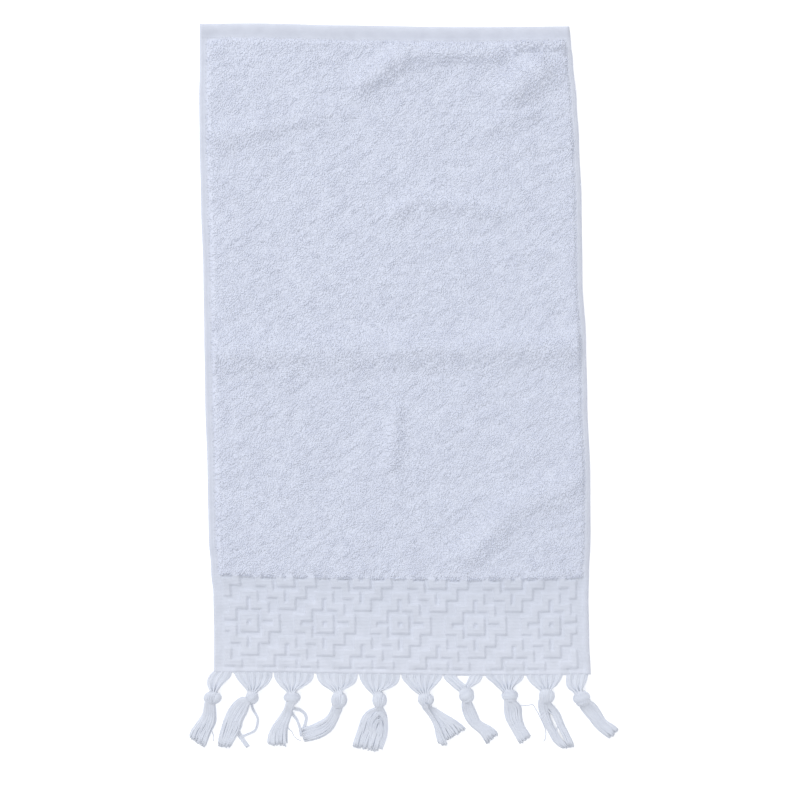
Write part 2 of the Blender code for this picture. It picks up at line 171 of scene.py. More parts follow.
# Soft folds: a crest from one point to another, the width over which it falls away, and its height.
FOLDS = (
    (-150, -4, 0, -1.4, 13, 3.3),  # the crease where the towel was folded in two
    (0, -1.4, 150, 1.2, 11.5, 3.9),
    (-26, 211, 8, 235, 9, 4.6),
    (8, 235, 82, 236, 7.5, 3.4),
    (95, 207, 116, 222, 13, 6),
    (98, 243, 140, 243.5, 6.5, 4),
    (74, 177, 106, 187, 7, 1.9),
    (104, 162, 146, 162, 6, 1.3),
    (-140, 168, -96, 178, 9, 2.1),
    (-96, 178, -50, 188, 9, 1.5),
    (0, 108, 17, 119, 7, 2.2),
    (17, 119, 80, 109, 7, 2),
    (-1, -90, 1, -49, 6, 2.4),
    (-6, -14, -8, -40, 6, 0.8),
    (60, -163, 96, -127, 11, 3),
    (96, -127, 140, -108, 11, 3),
    (-149, 248, -144, 250, 5, -2.6),  # the dents at the ends of the hem's seam
    (134, 249, 141, 247, 5, -2.4),
)

# --- The cloth's grid ---
SELVEDGE_STEPS = 12
CELL_STEPS = 5  # grid steps to a column and to a row of the chart
RIDGE_STEPS = 8
TERRY_STEPS = 150
HEM_LINES = (1.5, 3.0, 4.5, 6.0, 7.5, 9.0, 10.3, 11.4, 12.1, HEM_LENGTH)  # from where the hem starts
TERRY_SHARE = 3  # the terry's ground has one column line for this many of the border's
UNDER_SHARES = (4, 2)  # and the underside one row line for this many of the border's and the rest's
BAKE_MARGIN = 0.012  # of the bake's map, round the cloth
BAKE_RIM = 0.009

# --- The pile ---
PILE_PIECES = 4  # each runs the length of the terry
LOOP_SPACING = (1.6, 1.65)  # across and along
LOOP_JITTER = 0.38  # of the spacing
LOOP_RADIUS = 0.48  # of the yarn
LOOP_SPREAD = 2.8  # between a loop's feet
LOOP_SINK = 0.34  # how far its feet are under the ground weave
LOOP_STATIONS = ((-0.5, 0.0), (0.0, 1.0), (0.5, 0.0))  # across, up
LOOP_SIDES = 3
LOOP_UNEVEN = 0.3  # of its height
OWN_UNEVEN = 0.5  # each loop's own share of that, and the streaks'
STREAK_UNEVEN = 0.7
LOOP_LEAN = 0.7  # how far its top leans over
PILE_MARGINS = (5.8, 3.8)  # the selvedge left bare on the left and on the right
PILE_ENDS = (BORDER_TOP + 0.2, HEM_START + 0.2)
LOOP_STAGGER = 0.25  # of the spacing, to each side in turn
EDGE_FULLNESS = 0.85  # of the loops' height, on the outermost ones
EDGE_REACH = 5.0
HEM_PRESS = 0.35  # how much the hem's seam presses the loops beside it
HEM_REACH = 3.0
# The way that the loops lean along x and y: on the whole, in patches, in tufts and each of its own.
LEAN_FLOW = (0.7, 0.5)
PATCH_SIZE = 34.0
PATCH_LEAN = 0.6
TUFT_SIZE = 9.0
TUFT_LEAN = 0.5
OWN_LEAN = 0.4
LEAST_FLOW = 0.6
TURN_SIZE = 12.0  # of the patches in which the loops stand the same way round
TURN_SPREAD = 0.8  # in radians
RADIUS_SPREAD = 0.15

# --- The tassels ---
# A tassel's yarns leave the cloth as a fan, meet in a knot at (x, y) and spread into a skirt. The
# wrap is how the yarns drawn round the knot lie: their angle from +X in degrees, how far they are
# from its middle and half their width, as shares of its size. The fan and the skirt are outlines,
# from the cloth to the tips: left x, left y, right x and right y in turn. Outlines and strays are in
# tenths of a millimetre from the knot.
Tassel = namedtuple("Tassel", "x y width length wrap fan skirt")
TASSELS = (
    Tassel(-145.4, -278.2, 15, 10.6, (76, -0.62, 0.36), (3, 208, 155, 208, -38, 171, 148, 167, -55, 125,
        111, 130, -43, 80, 65, 84, -20, 38, 35, 38), (-59, -3, 10, -3, -78, -67, 26, -67, -91, -136, 32,
        -145, -146, -214, 28, -205, -187, -265, -8, -288, -202, -314, -54, -423)),
    Tassel(-113.8, -277.8, 11, 11, (42, 0.05, 0.56), (-160, 202, 160, 198, -142, 166, 159, 154, -114, 126,
        130, 106, -72, 84, 94, 77, -41, 44, 38, 38), (-35, -7, -8, -44, -99, 0, -24, -80, -168, -58, -35,
        -131, -219, -140, -72, -200, -255, -232, -83, -250, -274, -315, -120, -315, -284, -402, -168,
        -411)),
    Tassel(-82, -278.2, 14.2, 11, (2, 0.08, 0.62), (-152, 204, 178, 204, -149, 155, 175, 160, -122, 112,
        148, 121, -83, 73, 89, 88, -40, 38, 34, 47), (-53, -21, 34, -40, -63, -76, 11, -86, -99, -141, 2,
        -141, -164, -228, -21, -214, -200, -306, -36, -292, -204, -382, -31, -398)),
    Tassel(-44.5, -280, 13.2, 14.2, (82, -0.62, 0.36), (-190, 224, 154, 216, -185, 172, 149, 164, -155, 128,
        131, 133, -99, 91, 89, 109, -48, 60, 29, 76), (-43, 24, 29, 0, -61, -40, 29, -80, -85, -104, 13,
        -120, -115, -144, -11, -184, -163, -168, -59, -260, -227, -196, -155, -316, -311, -228, -287,
        -348)),
    Tassel(-12.2, -280, 12, 13.4, (76, -0.64, 0.34), (-168, 220, 166, 212, -166, 172, 164, 160, -144, 130,
        134, 118, -108, 88, 82, 93, -66, 50, 14, 68), (-26, -48, 26, -48, -42, -66, 36, -76, -102, -92, 58,
        -118, -152, -152, 67, -168, -178, -220, 61, -232, -209, -304, 34, -308, -226, -380, -2, -424)),
    Tassel(24.7, -279.7, 13.4, 11.2, (80, -0.62, 0.36), (-201, 213, 137, 209, -199, 165, 133, 169, -163,
        125, 101, 133, -115, 77, 69, 105, -58, 37, 33, 69), (-27, -19, 45, -35, -35, -67, 53, -63, -7, -103,
        101, -87, 35, -167, 169, -127, 65, -243, 245, -167, 77, -315, 301, -205, 101, -375, 329, -243)),
    Tassel(57.2, -276.2, 13, 13.2, (34, 0.06, 0.5), (-188, 170, 135, 170, -183, 126, 129, 134, -132, 78,
        108, 102, -90, 42, 72, 85, -52, 20, 26, 58), (-28, -22, 40, -22, -44, -74, 46, -54, -42, -126, 70,
        -102, -16, -194, 100, -166, 28, -254, 124, -210, 100, -318, 212, -258, 156, -412, 266, -310)),
    Tassel(91.7, -276.6, 14, 11.2, (10, 0.12, 0.58), (-203, 186, 120, 178, -197, 146, 117, 138, -153, 110,
        87, 107, -109, 70, 51, 84, -65, 32, 25, 54), (-45, -18, 35, -18, -51, -70, 59, -46, -51, -130, 101,
        -94, -37, -194, 105, -170, 3, -266, 123, -238, 39, -334, 155, -290, 75, -400, 181, -326)),
    Tassel(121.1, -276.8, 13, 12.8, (80, -0.66, 0.32), (-167, 184, 137, 180, -163, 140, 129, 140, -131, 99,
        107, 110, -93, 69, 81, 82, -49, 34, 45, 56), (-43, -8, 29, -32, -67, -32, 39, -60, -73, -88, 69,
        -92, -59, -148, 111, -140, -27, -232, 141, -216, 13, -304, 181, -296, 57, -376, 213, -360, 125,
        -426, 231, -412)),
    Tassel(149, -278.6, 14.8, 12.8, (22, 0.16, 0.5), (-118, 206, 64, 206, -128, 162, 57, 166, -132, 122, 44,
        126, -116, 80, 28, 98, -66, 42, 10, 62), (-14, -22, 46, -6, -22, -62, 74, -20, 2, -114, 126, -54,
        54, -174, 166, -114, 98, -234, 206, -174, 154, -290, 262, -210, 222, -338, 308, -252)),
)
# Where a fan or a skirt parts in two, by the tassel's number: the gap's middle and half its width,
# from -1 at the left to 1.
FAN_GAPS = {7: (0.0, 0.385)}
SKIRT_GAPS = {9: (0.1, 0.20)}
# Bundles that lie over a skirt, as outlines.
OVERLAYS = {
    6: (
        -21, -23, 33, -33, -35, -63, 41, -63, -7, -103, 65, -107, 35, -167, 101, -159, 65, -243, 137,
        -227, 77, -315, 173, -295, 101, -377, 201, -359),
}
# Yarns that stray from a tassel: its number, how many side by side, their radius and the points
# under them, x, y and z in turn, from inside the knot to the tip.
Stray = namedtuple("Stray", "tassel yarns radius points")
STRAYS = (
    Stray(1, 1, 0.34, (-32, -218, 15, -10, -274, 0, 4, -314, 0, 0, -354, 0)),
    Stray(2, 2, 0.62, (-12, -32, 38, -2, -78, 16, 11, -117, 2, 40, -172, 0, 38, -218, 0, 24, -264, 0, -6,
        -288, 0, -49, -305, 0, -86, -322, 4)),
    Stray(2, 3, 0.74, (-132, -192, 30, -122, -258, 12, -96, -320, 0, -36, -404, 0)),
    Stray(3, 2, 0.76, (-14, -58, 44, 16, -88, 26, 61, -102, 8, 97, -130, 0, 111, -170, 0, 102, -214, 0, 86,
        -258, 0)),
    Stray(3, 2, 0.66, (-20, -68, 44, 0, -128, 14, 34, -178, 2, 58, -242, 0, 70, -314, 0)),
    Stray(3, 1, 0.4, (-60, -218, 20, -26, -256, 6, -3, -279, 0, 10, -311, 0, 38, -338, 0, 66, -348, 0)),
    Stray(5, 3, 0.68, (-84, -330, 18, -83, -230, 30, -56, -152, 39, -6, -108, 44, 38, -142, 42, 50, -220,
        36, 38, -304, 28, 6, -394, 16)),
    Stray(5, 2, 0.68, (-42, -340, 18, -45, -256, 30, -28, -190, 37, -2, -162, 40, 14, -198, 37, 14, -270,
        32, -8, -360, 18)),
    Stray(8, 1, 0.42, (23, -88, 30, 84, -84, 16, 141, -84, 4, 183, -77, 0, 210, -116, 0, 237, -166, 0, 279,
        -258, 0, 289, -312, 0, 283, -354, 0, 270, -372, 0)),
)
YARN_RADIUS = 0.68
YARN_UNEVEN = (0.9, 1.1)  # of its radius
YARN_SIDES = 5
YARN_TWIST = 2.2  # the length of one turn
FAN_SPACING = 1.0  # between the yarns where a fan is widest
FAN_STATIONS = 12
FAN_LAYERS = (0, 1, 2, 3, 2, 1)  # which layer of the neck each yarn goes to
FAN_JITTER = 0.4  # of the spacing
FAN_WANDER = 0.10
GAP_END = 0.52  # how far down a fan its gap has closed, and over what share
GAP_CLOSING = 0.4
ROOT_HEIGHT = 0.75
ROOT_SPREAD = 0.9  # between a fan's lowest and highest yarns at the cloth
NECK_SHARE = 0.5  # of the knot's width that the yarns narrow to
NECK_HEIGHT = 4.4  # between a neck's lowest and highest yarns
KNOT_DEPTH = 9.6
SKIRT_LAYERS = (0, 1, 2, 3)
OVERLAY_LAYERS = (4, 5)
SKIRT_SPACING = 1.12
SKIRT_STATIONS = 14
SKIRT_JITTER = 0.3  # of the spacing
SKIRT_REST = 0.45  # the share of a skirt's length by which it has come down to the surface
SKIRT_PARTING = (0.28, 0.96)  # where a skirt's gap starts and ends
WAVE_HEIGHT = 0.05  # of half a skirt's width
WAVES = 1.2
LAYER_STEP = 1.4  # of a yarn's radius, where the layers rest on each other
HEIGHT_WANDER = 0.12
TIP_RAGGEDNESS = 0.072  # of a skirt's length
TIP_SWELL = (1.05, 1.12, 0.8)  # of the radius at the last stations, where the yarn untwists
STRAY_SPACING = 1.6  # of a yarn's radius
WRAP_SPACING = 1.05
WRAP_UNEVEN = (0.95, 1.1)
WRAP_STATIONS = 25
WRAP_LIMIT = 0.97  # of the knot's half size
WRAP_EDGE = 0.86  # how tight the wrap's outer yarns are
BODY_YARNS = 24
BODY_STATIONS = 11
BODY_RADIUS = 1.15  # of a yarn's
BODY_SIZE = 0.97
PINCH = 0.14  # how much the wrap's edges, and the wrap, press the body in
PINCH_WIDTH = 0.30
UNDER_WRAP = 0.15
CORE_SIZE = 0.88
CORE_STATIONS, CORE_SIDES = 7, 12

# --- The sewing ---
STITCH_PITCH = 3.1
STITCH_LENGTH = 2.3
STITCH_RADIUS = 0.24
STITCH_ARCH = 0.12  # how far a stitch's middle stands up
STITCH_DIVE = 0.5  # and how far its ends go down from there
STITCH_STATIONS, STITCH_SIDES = 5, 4
STITCH_COLUMNS = 20  # of the bake's map
HEM_SEAM = HEM_START + 1.3  # the seam's place along the cloth
HEM_SEAM_ENDS = (3.0, CLOTH_WIDTH - 2.0)
SIDE_SEAMS = (4.8, CLOTH_WIDTH - 3.0)  # the side seams' places across it
SIDE_SEAM_ENDS = (BORDER_TOP + 2.0, HEM_START - 2.0)

# --- The finish ---
# Each is where the cotton is deepest and palest.
# The border's two tones are painted shade. Its cotton is darker beside the thicker terry, which shades it,
# and palest beside the tassels.
SHADED_BORDER_COTTON = ((0.678, 0.709, 0.783), (0.733, 0.765, 0.848))  # the border, beside the terry
BORDER_COTTON = ((0.727, 0.753, 0.820), (0.787, 0.813, 0.888))  # the border, beside the tassels
TERRY_COTTON = ((0.747, 0.780, 0.882), (0.802, 0.836, 0.934))
# The ground weave between the loops is painted darker than the loops: painted shade from the pile over it.
SHADED_GROUND_COTTON = ((0.708, 0.739, 0.840), (0.760, 0.793, 0.890))  # the ground weave under the pile
EDGE_COTTON = ((0.672, 0.698, 0.775), (0.722, 0.750, 0.829))  # the hem, and beside the terry
FRINGE_COTTON = ((0.744, 0.774, 0.842), (0.799, 0.828, 0.888))
ROUGHNESS = (0.84, 0.97)
PLAIN_WIDTH = 6.0  # of the plain weave along the cloth's sides


# --- The cloth's shape ---
def eased(share):
    return share * share * (3 - 2 * share)


def rise(value, start, end):
    """From 0 at start to 1 at end, eased."""
    return eased(np.clip((value - start) / (end - start), 0.0, 1.0))


def unit(vectors):
    return vectors / np.linalg.norm(vectors, axis=-1, keepdims=True)


def hump(away, width):
    return np.exp(-((away / width) ** 2))


def from_sides(across):
    return np.minimum(across, CLOTH_WIDTH - across)


def read_table(rows, places):
    """The values of a table's other columns at places along its first."""
    known, *columns = np.array(rows).T
    places = np.clip(places, known[0], known[-1])
    after = np.clip(np.searchsorted(known, places), 1, len(known) - 1)
    share = eased((places - known[after - 1]) / (known[after] - known[after - 1]))
    return [values[after - 1] + share * (values[after] - values[after - 1]) for values in columns]


def soft_noise(x, y, size, seed):
    """Smooth unevenness from -1 to 1, with lumps about this size."""
    cells = 64
    values = np.random.default_rng(seed).uniform(-1.0, 1.0, (cells, cells))
    column, row = x / size + 1000.3, y / size + 1000.7  # far from zero, and off the cells' corners
    left, below = np.floor(column).astype(int), np.floor(row).astype(int)
    across, up = eased(column - left), eased(row - below)
    left, right = left % cells, (left + 1) % cells
    low, high = (
        values[left, line % cells] * (1 - across) + values[right, line % cells] * across
        for line in (below, below + 1)
    )
    return low * (1 - up) + high * up


def on_cloth(across, along):
    """Where a point of the woven cloth lies. It is measured from the cloth's left tassel corner."""
    share = across / CLOTH_WIDTH
    y = along - CLOTH_LENGTH / 2
    left, right = read_table(SIDES, y)
    tassel_bow, middle_bow, hem_bow = read_table(BOWS, share)
    in_border = along < BORDER_TOP
    end_bow = np.where(in_border, tassel_bow, hem_bow)
    past_border = (along - BORDER_TOP) / (CLOTH_LENGTH - BORDER_TOP)
    toward_end = np.where(in_border, 1 - along / BORDER_TOP, past_border)
    return left + share * (right - left), y + middle_bow + toward_end * (end_bow - middle_bow)


def fold_height(x, y):
    crest = dent = np.zeros(np.shape(x))
    for x0, y0, x1, y1, width, height in FOLDS:
        run_x, run_y = x1 - x0, y1 - y0
        share = np.clip(((x - x0) * run_x + (y - y0) * run_y) / (run_x**2 + run_y**2), 0.0, 1.0)
        away = np.hypot(x - x0 - share * run_x, y - y0 - share * run_y)
        fold = height * hump(away, width)
        crest, dent = np.maximum(crest, fold), np.minimum(dent, fold)
    return crest + dent


def pattern_relief(across, along):
    """The border's pattern at points of the cloth: 1 on its raised lines, 0 between them."""
    column = (across - PATTERN_START) / COLUMN_SIZE - 0.5
    row = (along - END_RIDGE_LENGTH) / ROW_SIZE - BAND_ROWS // 2
    raised = np.array([[mark == "#" for mark in line] for line in CHART])
    last = len(CHART) - 1
    nearest = np.full(np.shape(column), math.inf)
    for column_step in (-1, 0, 1):
        for row_step in (-1, 0, 1):
            cell_column = np.round(column) + column_step
            cell_row = np.clip(np.round(row), -last, last) + row_step
            inside = (cell_column >= 0) & (cell_column < BAND_COLUMNS) & (abs(cell_row) <= last)
            chart_row = np.clip(abs(cell_row), 0, last).astype(int)
            from_diamond = abs((cell_column - FIRST_DIAMOND + REPEAT // 2) % REPEAT - REPEAT // 2)
            is_raised = inside & raised[chart_row, from_diamond.astype(int)]
            sideways = np.maximum(abs(column - cell_column) - 0.5, 0.0) * COLUMN_SIZE
            lengthways = np.maximum(abs(row - cell_row) - 0.5, 0.0) * ROW_SIZE
            away = np.hypot(SIDE_SHARE * sideways, lengthways)
            nearest = np.where(is_raised, np.minimum(nearest, away), nearest)
    return 1 - rise(nearest, 0.0, RAISED_SLOPE)


def streaks(x, y):
    """Unevenness from -1 to 1, drawn out the way that the pile leans."""
    angle = math.radians(STREAK_ANGLE)
    lengthways = (x * math.cos(angle) + y * math.sin(angle)) / STREAK_SIZE[0]
    sideways = (y * math.cos(angle) - x * math.sin(angle)) / STREAK_SIZE[1]
    return soft_noise(lengthways, sideways, 1.0, seed=12)


def lumps(x, y):
    soft = LUMP_SHARE * soft_noise(x, y, LUMP_SIZE, seed=11)
    return PILE_LUMPS * (soft + (1 - LUMP_SHARE) * streaks(x, y))


def lift(across, along, x, y):
    """How far the cloth's long edges and its hem stand off the surface."""
    near_edge = np.maximum(1 - rise(from_sides(across), *LIFTED_SIDE), rise(along, *LIFTED_END))
    waves = np.maximum(soft_noise(x, y, LIFT_SIZE, seed=21) + 0.1, 0.0)
    return EDGE_LIFT * waves * near_edge * rise(along, *FLAT_END)


def line_relief(line, value):
    return line.height * hump(value - line.place, line.width)


def border_height(across, along):
    """The flat border with its pattern, whose last raised lines sink into the ridge."""
    raised = (RAISED_HEIGHT - BAND_HEIGHT) * rise(along, *RIDGE_TO_BAND)
    lifted = TERRY_LIFT * rise(along, *LIFTED_BORDER)
    return BAND_HEIGHT + lifted + raised * pattern_relief(across, along)


def ridge_relief(across, along):
    """The corded line beside the tassels, which is faint beside the selvedges."""
    plain = rise(across, *RIDGE_START) * (1 - 0.6 * rise(across, *RIDGE_END))
    plain = RIDGE_FAINTEST + (1 - RIDGE_FAINTEST) * plain
    return plain * (line_relief(END_RIDGE, along) + line_relief(END_GROOVE, along))


def face_height(across, along):
    """Height of the cloth's face, without the pile."""
    x, y = on_cloth(across, along)
    from_side = from_sides(across)
    folds = fold_height(x, y)
    in_terry = rise(along, *BAND_TO_TERRY)
    terry = GROUND_HEIGHT + lumps(x, y) + folds
    field = border_height(across, along) * (1 - in_terry) + terry * in_terry

    on_right = (across > CLOTH_WIDTH / 2).astype(int)
    bare, cord, groove, rounding, strip_height = np.moveaxis(np.array(SELVEDGES)[on_right], -1, 0)
    cords = line_relief(CORD, from_side - cord) + line_relief(GROOVE, from_side - groove)
    ribs = RIB_HEIGHT * np.cos(2 * np.pi * from_side / RIB_PITCH)
    selvedge = strip_height + cords * (0.4 + 0.6 * in_terry) + ribs
    in_field = rise(from_side, bare - 0.8, bare + 0.8 + 3.0 * in_terry)
    height = selvedge * (1 - in_field) + field * in_field + ridge_relief(across, along)

    on_hem = along - HEM_START
    in_hem = rise(on_hem, *TERRY_TO_HEM)
    hem = HEM_HEIGHT + line_relief(HEM_PUFF, on_hem)
    height = height * (1 - in_hem) + (hem + HEM_FOLDS * folds) * in_hem

    from_end = np.minimum(along / END_ROUND, (CLOTH_LENGTH - along) / HEM_ROUND)
    inward = np.clip(np.minimum(from_side / rounding, from_end), 0.0, 1.0)
    rounded = np.sqrt(1 - (1 - inward) ** 2)
    return EDGE_HEIGHT + (height - EDGE_HEIGHT) * rounded + lift(across, along, x, y)


# --- Meshes ---
RING_TURN = 0.25  # how far a tube's first corner is turned, as a share of the step to the next
CELL_MARGIN = 0.08  # of a tube's cell on the bake's map


def new_piece(name, points, faces, material, maps):
    """A smooth mesh from points in millimetres, with a map for each of its named lists of corners."""
    mesh = bpy.data.meshes.new(name)
    mesh.from_pydata(points * MM, [], faces)
    mesh.materials.append(material)
    for map_name, corners in maps.items():
        layer = mesh.uv_layers.new(name=map_name)
        layer.uv.foreach_set("vector", np.ascontiguousarray(corners, dtype=np.float32).ravel())
    mesh.shade_smooth()
    piece = new_object(name, mesh)
    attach(piece, "root")
    return piece


def strip_faces(line, sparse, kept):
    """Faces between a line of points and a sparser one, which has only the points kept says."""
    return [
        [sparse[number + 1], sparse[number], *line[start : end + 1]]
        for number, (start, end) in enumerate(zip(kept, kept[1:]))
    ]


def grid_faces(grid):
    corners = (grid[:-1, :-1], grid[:-1, 1:], grid[1:, 1:], grid[1:, :-1])
    return np.stack([corner.ravel() for corner in corners], axis=1).tolist()


def make_cloth(material):
    """One closed sheet: a fine grid for the border, a coarser one for the rest, and the underside."""
    field_steps = BAND_COLUMNS * CELL_STEPS
    field_end = SELVEDGE_STEPS + field_steps
    left = np.linspace(0.0, PATTERN_START, SELVEDGE_STEPS, endpoint=False)
    field = np.linspace(PATTERN_START, PATTERN_END, field_steps, endpoint=False)
    right = np.linspace(PATTERN_END, CLOTH_WIDTH, SELVEDGE_STEPS + 1)
    columns = np.concatenate([left, field, right])
    kept_columns = [
        *range(SELVEDGE_STEPS),
        *range(SELVEDGE_STEPS, field_end, TERRY_SHARE),
        *range(field_end, len(columns)),
    ]
    ridge = np.linspace(0.0, END_RIDGE_LENGTH, RIDGE_STEPS, endpoint=False)
    band = np.linspace(END_RIDGE_LENGTH, BORDER_TOP, (BAND_ROWS - 1) * CELL_STEPS + 1)
    border_rows = np.concatenate([ridge, band])
    terry_rows = np.linspace(BORDER_TOP, HEM_START, TERRY_STEPS + 1)[1:]
    other_rows = np.concatenate([terry_rows, HEM_START + np.array(HEM_LINES)])
    rows = np.concatenate([border_rows, other_rows])
    in_border, past_border = UNDER_SHARES
    kept_rows = [
        *range(0, len(border_rows), in_border),
        *range(len(border_rows) + 1, len(rows), past_border),
    ]

    places, numbers = [], []
    for grid_columns, grid_rows in (
        (columns, border_rows),
        (columns[kept_columns], other_rows),
        (columns[kept_columns], rows[kept_rows]),
    ):
        start = sum(len(part) for part in places)
        along, across = np.meshgrid(grid_rows, grid_columns, indexing="ij")
        places.append(np.stack([across.ravel(), along.ravel()], axis=1))
        numbers.append(start + np.arange(across.size).reshape(across.shape))
    border, other, under = numbers
    places = np.concatenate(places)
    is_under = np.arange(len(places)) >= under[0, 0]
    across, along = places.T
    x, y = on_cloth(across, along)
    on_edge = (across == 0) | (across == CLOTH_WIDTH) | (along == 0) | (along == CLOTH_LENGTH)
    under_height = UNDER_UNEVEN * (1 + soft_noise(x, y, 4.0, seed=31)) + UNDER_EDGE_HEIGHT * on_edge
    under_height = under_height + lift(across, along, x, y)
    z = np.where(is_under, under_height, face_height(across, along))

    faces = grid_faces(border) + grid_faces(other) + [face[::-1] for face in grid_faces(under)]
    faces += strip_faces(border[-1], other[0], kept_columns)
    sheet_faces = len(faces)
    for line, sparse, kept in (
        (np.concatenate([border[:, 0], other[:, 0]]), under[:, 0], kept_rows),
        (np.concatenate([border[:, -1], other[:, -1]]), under[:, -1], kept_rows),
        (border[0], under[0], kept_columns),
        (other[-1], under[-1], range(len(kept_columns))),
    ):
        faces += strip_faces(line.tolist(), sparse.tolist(), kept)

    # The bake's map has the face on its left half and the underside on its right, with the rim round
    # the face.
    corners = np.concatenate(faces)
    corner_is_rim = np.repeat(np.arange(len(faces)) >= sheet_faces, [len(face) for face in faces])
    corner_is_under = is_under[corners]
    woven = places[corners]
    share = woven / (CLOTH_WIDTH, CLOTH_LENGTH)
    outward = np.sign(share - 0.5) * (abs(share - 0.5) == 0.5)
    flat = BAKE_MARGIN + (1 - 2 * BAKE_MARGIN) * share
    flat += BAKE_RIM * outward * (corner_is_under & corner_is_rim)[:, None]
    flat[:, 0] = (flat[:, 0] + (corner_is_under & ~corner_is_rim)) / 2
    points = np.stack([x, y, z], axis=1)
    return new_piece("towel_cloth", points, faces, material, {"weave": woven * MM, "OFBake": flat})


def as_paths(x, y, z, radius):
    return np.stack(np.broadcast_arrays(x, y, z, radius), axis=-1)


def tubes(paths, sides, reference=None):
    """Closed tubes round paths, an array of tubes, stations and x, y, z and radius.

    Gives their points, their triangles, each corner's place along and round its tube, and their lengths.
    """
    count, stations, _ = paths.shape
    centre, radius = paths[..., :3], paths[..., 3]
    ahead = unit(np.gradient(centre, axis=1))
    if reference is None:
        sideways = unit(np.cross(ahead, UP))
    else:
        across = reference[:, None]
        sideways = unit(across - (across * ahead).sum(2, keepdims=True) * ahead)
    over = np.cross(sideways, ahead)
    turn = 2 * np.pi * (np.arange(sides) + RING_TURN) / sides
    ring = np.cos(turn)[:, None] * sideways[:, :, None] + np.sin(turn)[:, None] * over[:, :, None]
    points = centre[:, :, None] + radius[:, :, None, None] * ring

    corners = []
    for station in range(stations - 1):
        for side in range(sides):
            corners += [
                ((station, side), (station + 1, side + 1), (station, side + 1)),
                ((station, side), (station + 1, side), (station + 1, side + 1)),
            ]
    for side in range(1, sides - 1):
        corners += [
            ((-0.5, 0), (0, side), (0, side + 1)),
            ((stations - 0.5, 0), (stations - 1, side + 1), (stations - 1, side)),
        ]
    corners = np.array(corners)
    numbers = np.clip(corners[..., 0], 0, stations - 1) * sides + corners[..., 1] % sides
    triangles = numbers.astype(int) + stations * sides * np.arange(count)[:, None, None]
    place = (corners + (0.5, 0.0)) / (stations, sides)
    places = np.broadcast_to(place, (count, *place.shape))
    lengths = np.linalg.norm(np.diff(centre, axis=1), axis=2).sum(axis=1)
    return points.reshape(-1, 3), triangles.reshape(-1, 3), places, lengths


def joined(parts, columns):
    """Joins the tubes of several calls. Each tube gets a cell of its own on the bake's map."""
    points, triangles, places, lengths = zip(*parts)
    starts = np.cumsum([0, *map(len, points)])
    firsts = np.cumsum([0, *map(len, places)])
    rows = math.ceil(firsts[-1] / columns)
    bake, yarn = [], []
    for place, length, first in zip(places, lengths, firsts):
        number = first + np.arange(len(place))
        cell = np.stack([number % columns, number // columns], axis=1)[:, None, None]
        in_cell = CELL_MARGIN + (1 - 2 * CELL_MARGIN) * place
        bake.append(((cell + in_cell) / (columns, rows)).reshape(-1, 2))
        scale = np.stack([length * MM, np.ones_like(length)], axis=1)[:, None, None]
        yarn.append((place * scale).reshape(-1, 2))
    triangles = [part + start for part, start in zip(triangles, starts)]
    maps = {"yarn": np.concatenate(yarn), "OFBake": np.concatenate(bake)}
    return np.concatenate(points), np.concatenate(triangles), maps


# --- The pile ---
def make_pile(material):
    """Loops of yarn all over the terry, which lean together in patches."""
    chance = np.random.default_rng(5)
    left, right = PILE_MARGINS
    start, end = PILE_ENDS
    step_across, step_along = LOOP_SPACING
    across_count = round((CLOTH_WIDTH - left - right) / step_across)
    along_count = round((end - start) / step_along)
    row, column = np.divmod(np.arange(along_count * across_count), across_count)
    size = row.size
    across = left + (column + 0.5 + chance.uniform(-LOOP_JITTER, LOOP_JITTER, size)) * step_across
    across = np.clip(across + LOOP_STAGGER * step_across * (-1.0) ** row, left, CLOTH_WIDTH - right)
    along = start + (row + 0.5 + chance.uniform(-LOOP_JITTER, LOOP_JITTER, size)) * step_along
    along = np.clip(along, start, end)
    x, y = on_cloth(across, along)

    from_margin = np.minimum(across - left, CLOTH_WIDTH - right - across)
    from_margin = np.minimum(from_margin, np.minimum(along - start, end - along))
    full = EDGE_FULLNESS + (1 - EDGE_FULLNESS) * rise(from_margin, 0.0, EDGE_REACH)
    full = full - HEM_PRESS * rise(along, HEM_START - HEM_REACH, HEM_START)
    uneven = OWN_UNEVEN * chance.uniform(-1, 1, size) + STREAK_UNEVEN * streaks(x, y)
    tall = (PILE_HEIGHT - GROUND_HEIGHT) * full * (1 + LOOP_UNEVEN * uneven) + LOOP_SINK - LOOP_RADIUS

    flow_x, flow_y = (
        whole
        + PATCH_LEAN * soft_noise(x, y, PATCH_SIZE, seed)
        + TUFT_LEAN * soft_noise(x, y, TUFT_SIZE, seed + 1)
        + OWN_LEAN * chance.normal(size=size)
        for whole, seed in zip(LEAN_FLOW, (42, 44))
    )
    strength = LOOP_LEAN * (0.8 + 0.4 * chance.uniform(size=size))
    strength = strength / np.maximum(np.hypot(flow_x, flow_y), LEAST_FLOW)
    turned = math.pi / 2 + TURN_SPREAD * chance.normal(size=size)
    turned = turned + TURN_SPREAD * soft_noise(x, y, TURN_SIZE, seed=46)
    direction = np.stack([np.cos(turned), np.sin(turned), np.zeros(size)], axis=1)

    sideways, up = np.array(LOOP_STATIONS).T
    spread = LOOP_SPREAD * sideways
    paths = as_paths(
        x[:, None] + spread * direction[:, :1] + up * (strength * flow_x)[:, None],
        y[:, None] + spread * direction[:, 1:2] + up * (strength * flow_y)[:, None],
        (face_height(across, along) - LOOP_SINK)[:, None] + up * tall[:, None],
        LOOP_RADIUS * (1 + RADIUS_SPREAD * chance.uniform(-1, 1, size))[:, None],
    )
    reference = np.cross(direction, UP)
    pieces = []
    strips = np.minimum((across / CLOTH_WIDTH * PILE_PIECES).astype(int), PILE_PIECES - 1)
    for number in range(PILE_PIECES):
        chosen = strips == number
        part = tubes(paths[chosen], LOOP_SIDES, reference[chosen])
        points, triangles, maps = joined([part], math.ceil(math.sqrt(chosen.sum())))
        pieces.append(new_piece(f"terry_pile_{number + 1}", points, triangles, material, maps))
    return pieces


